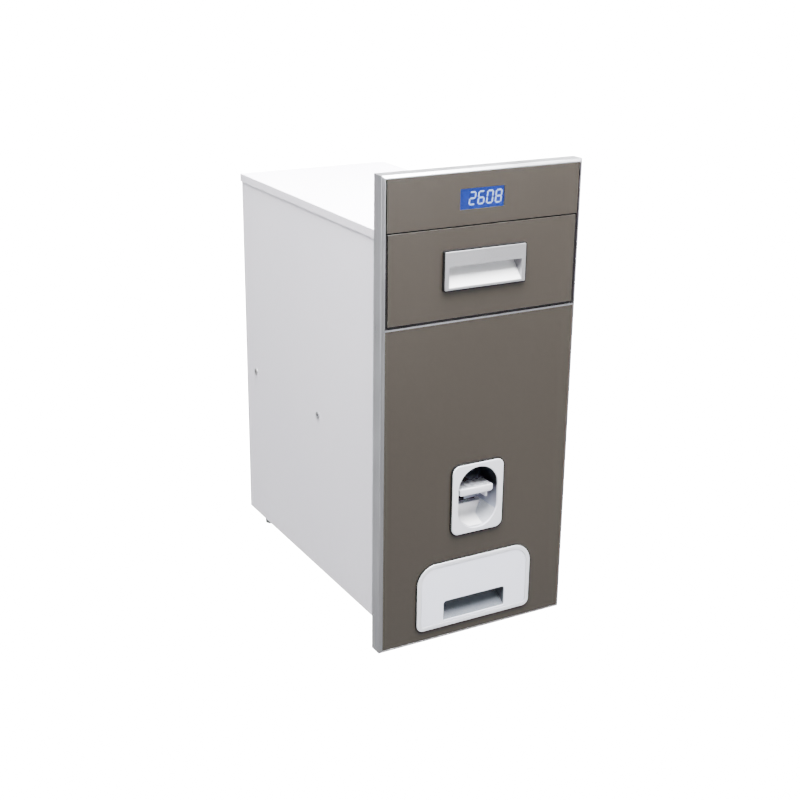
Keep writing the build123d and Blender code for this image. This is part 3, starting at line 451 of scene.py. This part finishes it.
# ---------------------------------------------------------------- mesh building, in mm
class Solid:
    """Collects closed bodies in one mesh; coordinates are in mm in the object's frame."""

    def __init__(self):
        self.mesh = bmesh.new()

    def loft(self, rings):
        """Skins rings of equally many points and closes both ends."""
        rows = []
        for ring in rings:
            rows.append([self.mesh.verts.new(Vector(point) * MM) for point in ring])
        count = len(rows[0])
        for low, high in zip(rows, rows[1:]):
            for i in range(count):
                j = (i + 1) % count
                self.mesh.faces.new((low[i], low[j], high[j], high[i]))
        self.mesh.faces.new(list(reversed(rows[0])))
        self.mesh.faces.new(rows[-1])

    def along_x(self, outline, x0, x1):
        """An outline of (y, z) points pulled from x0 to x1."""
        self.loft([[(x, y, z) for y, z in outline] for x in (x0, x1)])

    def along_y(self, outline, y0, y1):
        """An outline of (x, z) points pulled from y0 to y1."""
        self.loft([[(x, y, z) for x, z in outline] for y in (y0, y1)])

    def band(self, outer, inner, y0, y1):
        """A closed frame between two outlines of equally many (x, z) points."""
        rows = []
        for (xo, zo), (xi, zi) in zip(outer, inner):
            ring = ((xo, y0, zo), (xo, y1, zo), (xi, y1, zi), (xi, y0, zi))
            rows.append([self.mesh.verts.new(Vector(point) * MM) for point in ring])
        for i, row in enumerate(rows):
            other = rows[(i + 1) % len(rows)]
            for k in range(4):
                m = (k + 1) % 4
                self.mesh.faces.new((row[k], row[m], other[m], other[k]))

    def ball(self, centre, radius, rows=8, turns=12):
        """A ball with a small flat at each pole."""
        rings = []
        for row in range(1, rows):
            turn = math.pi * row / rows
            ring = []
            for i in range(turns):
                angle = 2 * math.pi * i / turns
                ring.append((centre[0] + radius * math.sin(turn) * math.cos(angle),
                             centre[1] + radius * math.sin(turn) * math.sin(angle),
                             centre[2] + radius * math.cos(turn)))
            rings.append(ring)
        self.loft(rings)

    def bar(self, x0, x1, y0, y1, z0, z1, round_off):
        """A straight bar whose front and rear long edges are rounded."""
        self.along_x(rounded(y0, y1, z0, z1, round_off, 4), x0, x1)

    def upright(self, x0, x1, y0, y1, z0, z1, round_off):
        """A straight post whose upright edges are rounded."""
        outline = rounded(x0, x1, y0, y1, round_off, 4)
        self.loft([[(x, y, z) for x, y in outline] for z in (z0, z1)])

    def strip(self, path, thick, x0, x1):
        """A sheet of the given thickness on the left of a path of (y, z) points."""
        self.along_x(list(path) + list(reversed(offset(path, thick))), x0, x1)

    def cheeks(self, outline, near, far):
        """A plate on each side of the middle plane, between two distances from it."""
        for side in (-1, 1):
            self.along_x(outline, *sorted((side * near, side * far)))

    def made(self, name, material, body, replaced=(), bevel=0.0, angle=35.0):
        """The finished piece, riding on its body; bevel is in mm, angle is where shading turns sharp."""
        bmesh.ops.recalc_face_normals(self.mesh, faces=self.mesh.faces)
        data = bpy.data.meshes.new(name)
        self.mesh.to_mesh(data)
        self.mesh.free()
        data.shade_smooth()
        data.set_sharp_from_angle(angle=math.radians(angle))
        piece = bpy.data.objects.new(name, data)
        bpy.context.scene.collection.objects.link(piece)
        data.materials.append(material)
        if bevel:
            soften(piece, bevel)
        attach(piece, body)
        if replaced:
            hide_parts(*replaced)
        return piece


def soften(piece, width, segments=3):
    """Rounds the sharp edges by a modifier."""
    bevel = piece.modifiers.new("edges", "BEVEL")
    bevel.width = width * MM
    bevel.segments = segments
    bevel.limit_method = "ANGLE"
    bevel.angle_limit = math.radians(40)
    bevel.harden_normals = True


def soften_cad(names, width, segments=2):
    """Joins the split vertices of the CAD meshes and rounds their sharp edges, by modifiers only."""
    for name in names:
        piece = NODES[name]
        weld = piece.modifiers.new("weld", "WELD")
        weld.merge_threshold = 0.01 * MM
        soften(piece, width, segments)


def rounded(a0, a1, b0, b1, radii, steps):
    """Points of a rectangle with rounded corners, counter-clockwise; radii is one or (low, high)."""
    points = []
    low_radius, high_radius = radii if isinstance(radii, tuple) else (radii, radii)
    corners = ((a0, b0, 180), (a1, b0, 270), (a1, b1, 0), (a0, b1, 90))
    for a, b, start in corners:
        radius = low_radius if b == b0 else high_radius
        centre_a = a + radius if a == a0 else a - radius
        centre_b = b + radius if b == b0 else b - radius
        for step in range(steps + 1):
            angle = math.radians(start + 90 * step / steps)
            points.append((centre_a + radius * math.cos(angle), centre_b + radius * math.sin(angle)))
    return points


def offset(path, distance):
    """The path moved to its left by a distance, with mitred corners."""
    moved = []
    for i, point in enumerate(path):
        sides = []
        if i > 0:
            sides.append((Vector(point) - Vector(path[i - 1])).normalized())
        if i < len(path) - 1:
            sides.append((Vector(path[i + 1]) - Vector(point)).normalized())
        normals = [Vector((-side.y, side.x)) for side in sides]
        mean = sum(normals, Vector((0, 0))).normalized()
        moved.append(tuple(Vector(point) + mean * distance / max(0.3, mean.dot(normals[0]))))
    return moved


def curve(start, corner, end, steps):
    """Points of a quadratic curve between two lines that meet at the corner."""
    points = []
    for step in range(steps + 1):
        t = step / steps
        a = Vector(start).lerp(Vector(corner), t)
        b = Vector(corner).lerp(Vector(end), t)
        points.append(tuple(a.lerp(b, t)))
    return points


def clusters(name, gap=8.0):
    """Low and high corners, in mm, of the separate lumps of a CAD node, told apart by gaps in X and Z."""
    piece = NODES[name]
    points = [piece.matrix_world @ vertex.co / MM for vertex in piece.data.vertices]
    lumps = [points]
    for axis in (2, 0):
        split = []
        for lump in lumps:
            ordered = sorted(lump, key=lambda point: point[axis])
            begin = 0
            for i in range(1, len(ordered)):
                if ordered[i][axis] - ordered[i - 1][axis] > gap:
                    split.append(ordered[begin:i])
                    begin = i
            split.append(ordered[begin:])
        lumps = split
    boxes = []
    for lump in lumps:
        low = Vector([min(point[axis] for point in lump) for axis in range(3)])
        high = Vector([max(point[axis] for point in lump) for axis in range(3)])
        boxes.append((low, high))
    return boxes


# ---------------------------------------------------------------- pieces, in mm
def glazing_seal(materials):
    """Black seals in the frame's rebate beside the glass, and in the two joints across the front."""
    seal = Solid()
    drawer_low, drawer_high = (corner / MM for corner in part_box("drawer_glass"))
    strip_low, strip_high = (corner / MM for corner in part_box("display_glass"))
    trim_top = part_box("lower_glass_trim")[1].z / MM
    lip_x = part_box("lower_glass")[1].x / MM
    clear = 0.2                               # from the drawer's glass, which moves
    touch = 0.1                               # from parts that stay
    front = GLASS_Y + 1.5
    rear = GLASS_Y + 5.4
    lower_front = front + 1.0
    upper_front = front + 0.4
    for side in (-1, 1):
        for low, high in ((drawer_low, drawer_high), (strip_low, strip_high)):
            ends = sorted((side * (high.x + clear), side * lip_x))
            seal.upright(*ends, front, rear, low.z, high.z, 0.5)
    seal.bar(-lip_x, lip_x, lower_front, rear, trim_top + touch, drawer_low.z - clear, 0.5)
    seal.bar(-lip_x, lip_x, upper_front, rear, drawer_high.z + clear, strip_low.z - touch, 0.4)
    seal.made("glazing_seal", materials["black_seal"], "cabinet")


SEGMENTS = {"a": ((0, 1), (1, 1)), "b": ((1, 0.5), (1, 1)), "c": ((1, 0), (1, 0.5)), "d": ((0, 0), (1, 0)),
            "e": ((0, 0), (0, 0.5)), "f": ((0, 0.5), (0, 1)), "g": ((0, 0.5), (1, 0.5))}
SHOWN = ("abged", "acdefg", "abcdef", "abcdefg")     # the bars that are on in each place
FIGURE_WIDTH = 8.2
FIGURE_HEIGHT = 15.6
FIGURE_PITCH = 13.0
FIGURE_MARGIN = 4.6                           # from the last figure to the panel's edge
FIGURE_LEAN = 0.10                            # sideways per mm of height
BAR_THICK = 2.1
BAR_GAP = 0.25
BAR_FRONT = 0.22                              # before the panel
BAR_REAR = 0.06


def display_digits(materials):
    """Four slanted seven-bar figures of a liquid crystal panel; the bars that are off are just visible."""
    low, high = (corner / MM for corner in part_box("lcd_panel"))
    lit = Solid()
    unlit = Solid()
    first = high.x - FIGURE_MARGIN - FIGURE_WIDTH - (len(SHOWN) - 1) * FIGURE_PITCH
    base = (low.z + high.z - FIGURE_HEIGHT) / 2
    for place, shown in enumerate(SHOWN):
        left = first + place * FIGURE_PITCH
        for key, ((u0, v0), (u1, v1)) in SEGMENTS.items():
            start = Vector((u0 * FIGURE_WIDTH, v0 * FIGURE_HEIGHT))
            end = Vector((u1 * FIGURE_WIDTH, v1 * FIGURE_HEIGHT))
            along = (end - start).normalized()
            across = Vector((-along.y, along.x)) * BAR_THICK / 2
            inset = along * (BAR_THICK / 2 + BAR_GAP)
            tip = along * BAR_GAP
            outline = [start + tip, start + inset - across, end - inset - across, end - tip,
                       end - inset + across, start + inset + across]
            outline = [(left + p.x + FIGURE_LEAN * p.y, base + p.y) for p in outline]
            target = lit if key in shown else unlit
            target.along_y(outline, low.y - BAR_FRONT, low.y - BAR_REAR)
    lit.made("display_digits", materials["digit_lit"], "cabinet")
    unlit.made("display_bars_off", materials["digit_unlit"], "cabinet")


def display_window(materials):
    """Thin clear window before the panel, with a rounded rim."""
    low, high = (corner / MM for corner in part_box("display_lens"))
    thick = 0.7
    window = Solid()
    window.along_y(rounded(low.x, high.x, low.z, high.z, 0.6, 3), low.y, low.y + thick)
    glass = materials["display_window"]
    window.made("display_cover", glass, "cabinet", ("display_lens",), bevel=0.15)


def pull_scoop(materials):
    """Liner with painted highlight on the floor and rear of the pull's hollow, whiter than the pull where
    the light falls on it.
    """
    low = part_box("drawer_pull")[0] / MM
    rear = -229.1
    roof = 548.3
    half = 54.95
    thick = 0.5
    floor = [(low.y + 0.5, 506.3), (-233.0, 529.8)]
    bend = curve((-231.8, 531.1), (rear, 534.1), (rear, 538.0), 6)
    liner = Solid()
    liner.strip(floor + bend + [(rear, roof)], thick, -half, half)
    liner.made("pull_scoop", materials["scoop_painted_highlight"], "feed_drawer", bevel=0.1)


def grip_liner(materials):
    """Dark metallic liner of the rice box's grip, painted shade in its hollow: floor, rear, roof and two
    cheeks.
    """
    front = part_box("rice_box_front")[0].y / MM
    rear = -222.2
    roof = 58.2
    bend_y = -225.0                           # where the floor and the roof turn toward the rear
    half = 49.8
    thick = 0.4
    path = [(front + 0.6, 29.1), (-226.0, 44.0)]
    path += curve((bend_y, 44.6), (rear, 46.2), (rear, 49.0), 5)
    path += curve((rear, 55.5), (rear, roof), (bend_y, roof), 5)
    path.append((front + 1.2, roof))
    liner = Solid()
    liner.strip(path, thick, -half, half)
    liner.cheeks(path, half - 0.1, half - 0.6)
    liner.made("grip_liner", materials["grip_painted_shade"], "rice_box", bevel=0.08)


def rib_height(x, half, count):
    """Height of the finger ribs across the paddle: flat-topped ridges with narrow valleys."""
    wave = math.cos(2 * math.pi * count * (x + half) / (2 * half))
    return min(1.0, max(0.0, 0.40 - 1.3 * wave))


def lever_paddle(materials):
    """The pressed bar of the lever: rounded edges, the small web under it, and a ribbed pad on top."""
    low, high = (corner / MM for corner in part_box("lever_paddle"))
    half = high.x
    bottom = 209.0
    shoulder = high.z - 2.0
    edge_round = 0.8
    end_bevel = 2.4                           # of the underside at both ends
    rings = []
    for edge in (0.0, 0.1, 0.3, 0.55, edge_round, 1.2, 1.8, end_bevel):
        over = max(0.0, edge_round - edge)
        drawn_in = edge_round - math.sqrt(edge_round ** 2 - over ** 2)
        lower = bottom + max(0.0, end_bevel - edge) + drawn_in * 0.4
        outline = rounded(low.y + drawn_in, high.y - drawn_in, lower, shoulder - drawn_in, 1.5, 5)
        rings.append((half - edge, outline))
    paddle = Solid()
    both = [(-x, outline) for x, outline in rings] + [(x, outline) for x, outline in reversed(rings)]
    paddle.loft([[(x, y, z) for y, z in outline] for x, outline in both])
    web = rounded(-246.0, -231.0, low.z, bottom + 1.5, 0.8, 3)
    paddle.along_x(web, 16.5, 19.5)
    silver = materials["silver_plastic"]
    paddle.made("lever_paddle_bar", silver, "lever", ("lever_paddle",), angle=50.0)
    pad_ribs(materials, low, high, shoulder)


def pad_ribs(materials, low, high, shoulder):
    """The ribbed pad let into the top of the paddle, whose corners are low and high; its grey, darker than
    the paddle's silver, is painted shade on the top.
    """
    half = high.x - 1.6
    front = low.y + 2.6
    rear = high.y - 1.2
    base = shoulder - 0.2
    valley = 0.35                             # above the paddle's shoulder
    rib_tall = 1.6
    ribs = 5
    columns = 120
    rings = []
    for column in range(columns + 1):
        x = -half + 2 * half * column / columns
        top = shoulder + valley + rib_tall * rib_height(x, half, ribs)
        rings.append([(x, y, z) for y, z in rounded(front, rear, base, top, (0.1, 0.3), 2)])
    pad = Solid()
    pad.loft(rings)
    pad.made("lever_paddle_ribs", materials["pad_painted_shade"], "lever", angle=40.0)


CUP_WALL = 2.0
CUP_REAR = -205.2                             # face of the liners on the rear of the lever's recess
LINER_GAP = 0.25                              # between a liner and the recess's wall


def lever_shade_hood(materials):
    """Lining with painted shade in the upper part of the lever's recess: the round wall and the rear around
    the slot.
    """
    inset = CUP_WALL + LINER_GAP
    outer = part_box("lever_cup")[1].x / MM - inset
    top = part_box("lever_cup")[1].z / MM - inset
    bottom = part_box("lever_cup")[0].z / MM + inset
    front = GLASS_Y - 1.2
    wall_thick = 0.5
    plate_thick = 0.45
    slot = 7.2                                # half the width left open for the lever's arm
    slot_top = 231.0
    start_z = 183.0
    outline = rounded(-outer, outer, bottom, top, outer - 0.1, 24)
    wall = [point for point in outline if point[1] >= start_z]
    jumps = [abs(x - wall[i - 1][0]) + abs(z - wall[i - 1][1]) for i, (x, z) in enumerate(wall)]
    begin = jumps.index(max(jumps))           # the wall's points run on from its open side
    wall = wall[begin:] + wall[:begin]
    wall = [(wall[0][0], start_z)] + wall + [(wall[-1][0], start_z)]
    centre_z = top - outer
    shrink = 1 - wall_thick / outer
    rings = []
    for x, z in wall:
        inner_x = x * shrink
        inner_z = z if z < centre_z else centre_z + (z - centre_z) * shrink
        outer_edge = [(x, front, z), (x, CUP_REAR, z)]
        rings.append(outer_edge + [(inner_x, CUP_REAR, inner_z), (inner_x, front, inner_z)])
    hood = Solid()
    hood.loft(rings)
    right = sorted((point for point in wall if point[0] >= slot), key=lambda point: point[1])
    crest = right[-1][1]
    half_plate = [(slot, start_z)] + right + [(slot, crest)]
    other_half = [(-x, z) for x, z in reversed(half_plate)]
    bridge = [(-slot, slot_top), (slot, slot_top), (slot, crest), (-slot, crest)]
    for plate in (half_plate, other_half, bridge):
        hood.along_y(plate, CUP_REAR - plate_thick, CUP_REAR)
    hood.made("lever_shade_hood", materials["hood_painted_shade"], "cabinet")


def lever_scoop(materials):
    """Liner with painted highlight on the curved floor of the lever's recess, as wide as the round bottom
    lets it be.
    """
    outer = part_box("lever_cup")[1].x / MM - CUP_WALL
    centre_z = 192.4
    least = 3.0                               # half the width where the round bottom is narrowest
    path = [(-250.0, 162.75), (-239.0, 163.6)]
    path += curve((-228.4, 164.9), (-212.4, 165.4), (-212.4, 180.4), 14)
    rings = []
    for (y0, z0), (y1, z1) in zip(offset(path, LINER_GAP), offset(path, 0.7)):
        wide = math.sqrt(max(least ** 2, (outer - LINER_GAP) ** 2 - (centre_z - z0) ** 2))
        rings.append([(-wide, y0, z0), (wide, y0, z0), (wide, y1, z1), (-wide, y1, z1)])
    scoop = Solid()
    scoop.loft(rings)
    scoop.made("lever_scoop", materials["scoop_painted_highlight"], "cabinet")


def slot_box(materials):
    """Black pocket behind the lever's slot, painted shade so that the slot reads dark and nothing of the
    works shows through it.
    """
    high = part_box("lever_well_cover")[1] / MM
    front = high.y + 0.1
    rear = -172.0
    floor = 182.0
    roof = 233.0
    half = 9.5
    thick = 0.8
    path = [(front, floor), (rear, floor), (rear, roof), (front, roof)]
    pocket = Solid()
    pocket.strip(path, thick, -half, half)
    pocket.cheeks(path, half, half - thick)
    pocket.made("lever_slot_shade_box", materials["black_plastic"], "cabinet")


RIMMED = (                                    # trim, its low and high corner radii, body
    ("drawer_pull", (1.5, 1.5), "feed_drawer"),
    ("lever_escutcheon", (11.0, 11.0), "cabinet"),
    ("rice_box_bezel", (10.5, 29.0), "cabinet"),
)
RIM_WIDTH = 1.4
RIM_GAP = 0.06                                # between a trim and its rim


def trim_rims(materials):
    """Black rims that close the sides of the three silver trims against the glass, as rubber gaskets; their
    black also stands in for the shade and dark reflection on the trims' sides.
    """
    for node, radii, body in RIMMED:
        low, high = (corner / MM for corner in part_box(node))
        outlines = []
        for grow in (RIM_WIDTH, RIM_GAP):
            grown = tuple(radius + grow for radius in radii)
            outlines.append(rounded(low.x - grow, high.x + grow, low.z - grow, high.z + grow, grown, 12))
        rim = Solid()
        rim.band(*outlines, low.y + 0.7, GLASS_Y - 0.02)
        # gasket rim whose black is also painted shade on the trim's side
        rim.made(node + "_rim", materials["black_seal"], body, bevel=0.2)


def slide_balls(materials):
    """Steel balls in the races of the drawer's telescopic slides."""
    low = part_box("drawer_slide_channels")[0] / MM
    first = low.y + 30
    pitch = 24
    race_x = 115.2
    balls = Solid()
    for side in (-1, 1):
        for race_z in (501.0, 523.0):
            for step in range(14):
                balls.ball((side * race_x, first + step * pitch, race_z), 1.8)
    balls.made("drawer_slide_balls", materials["shaft_steel"], "cabinet", angle=80.0)


def screw_head(solid, centre, radius, tall):
    """A domed head that faces +Y, with a cross recess."""
    rows = 12
    turns = 40
    angles = [2 * math.pi * i / turns for i in range(turns)]
    arm_half = radius * 0.17
    arm_end = 0.62                            # share of the radius
    rings = [[(centre.x + radius * math.cos(angle), centre.y, centre.z + radius * math.sin(angle))
              for angle in angles]]
    for row in range(rows):
        t = 1 - row / rows
        dome = tall * (0.35 + 0.65 * math.sqrt(max(0.0, 1 - t * t)))
        ring = []
        for angle in angles:
            u = radius * t * math.cos(angle)
            v = radius * t * math.sin(angle)
            recessed = min(abs(u), abs(v)) < arm_half and t < arm_end
            rise = dome - tall * 0.75 * (1 - t) ** 0.3 if recessed else dome
            ring.append((centre.x + u, centre.y + rise, centre.z + v))
        rings.append(ring)
    solid.loft(rings)


def screws(materials):
    """Pan heads with cross recesses in place of the plain ones, seen from behind."""
    for node in ("frame_screws", "rear_panel_screws"):
        heads = Solid()
        for low, high in clusters(node):
            radius = (high.x - low.x) / 2
            tall = min(2.2, radius * 0.45)
            centre = Vector(((low.x + high.x) / 2, high.y - tall, (low.z + high.z) / 2))
            screw_head(heads, centre, radius, tall)
        heads.made(node + "_crossed", materials["zinc_steel"], "cabinet", (node,), angle=40.0)


# CAD nodes that don't take their slot's own material
OWN_MATERIAL = {
    "frame_top_rail": "frame_across",
    "frame_bottom_rail": "frame_across",
    "upper_cross_rail": "frame_across",
    "lower_cross_rail": "frame_across",
    "lower_glass_trim": "frame_across",
    # the recess walls take the darker silver, painted shade
    "lever_cup": "cup_painted_shade_silver",
    "drawer_pull": "pull_silver",
    "lever_arm": "black_steel",
    "rice_box_front": "box_silver",
}
# edge radius in mm, and the CAD nodes that get it
SOFTENED = (
    (0.35, ("drawer_pull", "lever_escutcheon", "rice_box_bezel", "rice_box_front")),
    (0.3, ("frame_left_stile", "frame_right_stile", "frame_top_rail", "frame_bottom_rail")),
    (0.25, ("drawer_glass", "lower_glass", "display_glass", "top_cover")),
)


def main():
    make_camera()
    make_light()
    make_floor()
    materials = make_materials()
    for part in frame["record"]["subparts"]:
        name = part["node"]
        key = OWN_MATERIAL.get(name, part["material_slot"])
        node = NODES[name]
        node.data.materials.clear()
        node.data.materials.append(materials[key])
    glazing_seal(materials)
    display_digits(materials)
    display_window(materials)
    pull_scoop(materials)
    grip_liner(materials)
    lever_paddle(materials)
    lever_scoop(materials)
    lever_shade_hood(materials)
    slot_box(materials)
    trim_rims(materials)
    slide_balls(materials)
    screws(materials)
    for width, names in SOFTENED:
        soften_cad(names, width)


main()
